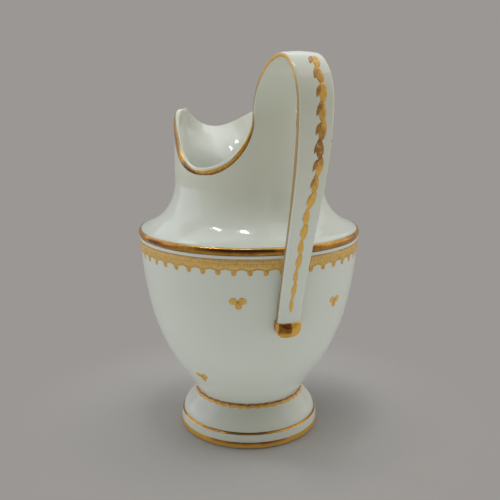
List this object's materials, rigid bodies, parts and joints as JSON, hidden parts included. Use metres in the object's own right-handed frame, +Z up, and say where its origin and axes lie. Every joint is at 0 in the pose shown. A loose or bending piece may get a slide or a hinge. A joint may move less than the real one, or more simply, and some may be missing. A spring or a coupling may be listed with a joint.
{
  "type": "porcelain milk jug",
  "caption": "Helmet-shaped porcelain milk jug on a domed foot, with a dipping rim, beak lip, high strap handle and gilt bands and sprigs.",
  "frame": {"origin": "centre of the foot on the standing plane, on the turning axis", "axes": "+Z up along the turning axis, +X from the axis towards the handle, so the lip is at -X"},
  "size_m": [0.139, 0.109, 0.1846],
  "materials": {
    "porcelain": "clear glossy glaze, faintly grey-green",
    "gilded_porcelain": "porcelain covered all over with burnished gold",
    "gilding": "burnished gold, worn brown in places",
    "fired_slip": "unglazed fired slip"
  },
  "bodies": {
    "root": {"foot": "porcelain", "foot_luting_slip": "fired_slip", "bowl": "porcelain", "shoulder_luting_slip": "fired_slip", "neck": "porcelain", "shoulder_bead": "gilding", "rim_gilding": "gilding", "border_gilding": "gilding", "foot_base_gilding": "gilding", "foot_line_gilding": "gilding", "foot_garland_gilding": "gilding", "handle_strap": "porcelain", "handle_root_slip": "fired_slip", "handle_end_slip": "fired_slip", "strap_edge_gilding_left": "gilding", "strap_edge_gilding_right": "gilding", "husk_chain_gilding": "gilding", "handle_pad": "gilded_porcelain"}
  },
  "joints": []
}
